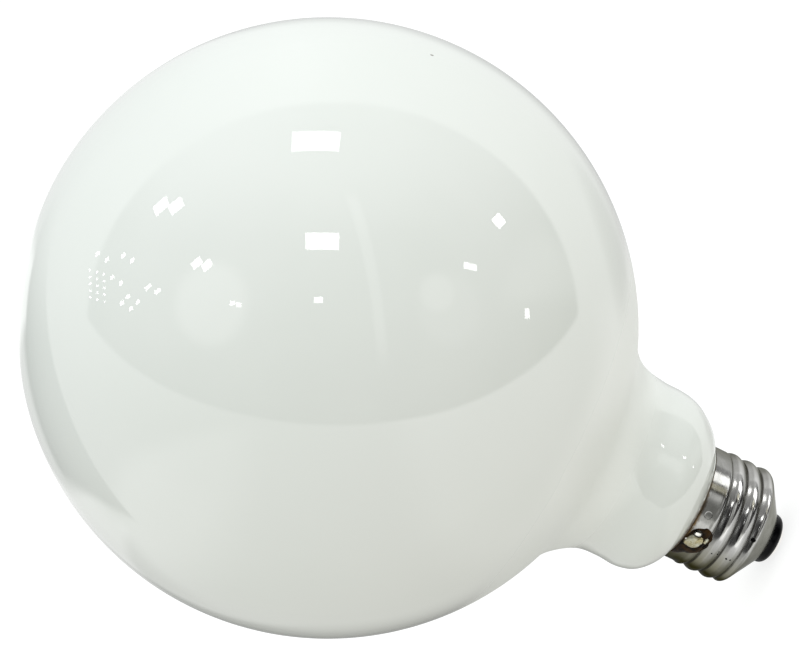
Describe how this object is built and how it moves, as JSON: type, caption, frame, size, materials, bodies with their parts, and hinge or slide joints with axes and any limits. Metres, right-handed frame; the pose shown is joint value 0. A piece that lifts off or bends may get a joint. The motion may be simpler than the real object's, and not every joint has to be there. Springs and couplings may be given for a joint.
{
  "type": "globe light bulb",
  "caption": "Large white opal globe bulb with a medium Edison screw cap, a black glass insulator and a soldered side contact.",
  "frame": {"origin": "lowest point of the centre contact, on the axis of the cap", "axes": "+Z along the axis of the bulb, from the centre contact to the crown of the globe, and the soldered side contact is 124 degrees from +X towards -Y"},
  "size_m": [0.127, 0.127, 0.1704],
  "materials": {
    "opal_glass": "gloss",
    "shell_metal": "satin",
    "black_glass": "gloss",
    "contact_metal": "satin",
    "solder": "satin",
    "lead_wire": "satin",
    "cement": "matte"
  },
  "bodies": {
    "root": {"glass_globe": "opal_glass", "screw_shell": "shell_metal", "cap_insulator": "black_glass", "center_contact": "contact_metal", "center_solder": "solder", "center_lead": "lead_wire", "basing_cement": "cement", "side_lead": "lead_wire", "side_solder": "solder"}
  },
  "joints": []
}
